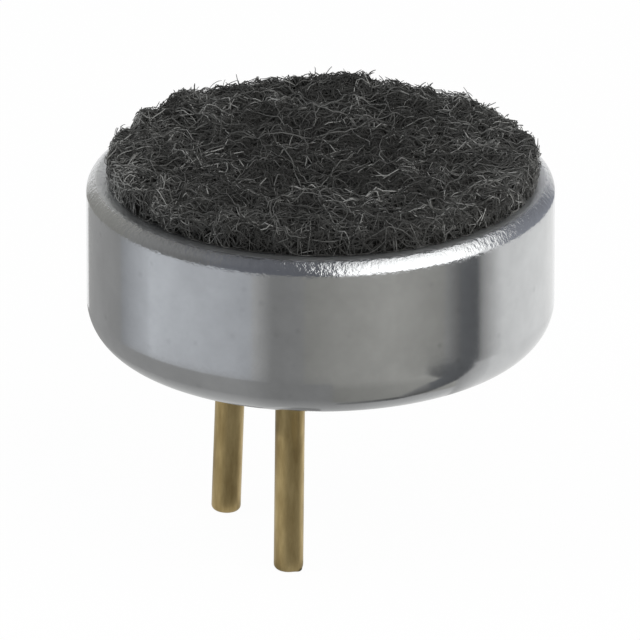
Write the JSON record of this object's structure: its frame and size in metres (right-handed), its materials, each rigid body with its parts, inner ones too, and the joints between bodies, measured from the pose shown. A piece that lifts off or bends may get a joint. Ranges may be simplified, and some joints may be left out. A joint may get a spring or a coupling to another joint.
{
  "type": "electret microphone capsule",
  "caption": "Round electret microphone capsule: a crimped metal can with a felt-covered sound inlet at its front and terminal pins for soldering at its rear.",
  "frame": {"origin": "on the can's axis, in the plane of the crimped rear land that sits on the host board", "axes": "+Z along the can's axis towards the felt front, so the pins point to -Z; +X runs from the output pin to the ground pin; the pins lie on the -Y side of the axis"},
  "size_m": [0.006, 0.006, 0.0052],
  "materials": {
    "felt": "matted charcoal felt with a raised nap",
    "can_metal": "satin, as drawn",
    "pin_metal": "dull, lightly tarnished",
    "ring_brass": "plain",
    "metallised_film": "thin metal coat",
    "spacer_film": "plain",
    "charged_film": "clear",
    "insulator": "moulded",
    "copper": "bare copper",
    "tinned_copper": "tinned copper",
    "laminate": "green solder mask",
    "moulding": "moulded",
    "lead_metal": "tinned",
    "ceramic": "fired ceramic",
    "solder": "bright solder"
  },
  "bodies": {
    "root": {"dust_felt": "felt", "can": "can_metal", "diaphragm_ring": "ring_brass", "diaphragm": "metallised_film", "spacer": "spacer_film", "electret_film": "charged_film", "backplate": "ring_brass", "insulating_ring": "insulator", "gate_ring": "ring_brass", "gate_track": "copper", "output_track": "copper", "ground_track": "copper", "circuit_board": "laminate", "ground_ring": "tinned_copper", "output_pad": "tinned_copper", "jfet_body": "moulding", "jfet_leads": "lead_metal", "capacitor_1": "ceramic", "capacitor_2": "ceramic", "capacitor_ends": "lead_metal", "output_pin": "pin_metal", "ground_pin": "pin_metal", "output_solder": "solder", "ground_solder": "solder"}
  },
  "joints": []
}
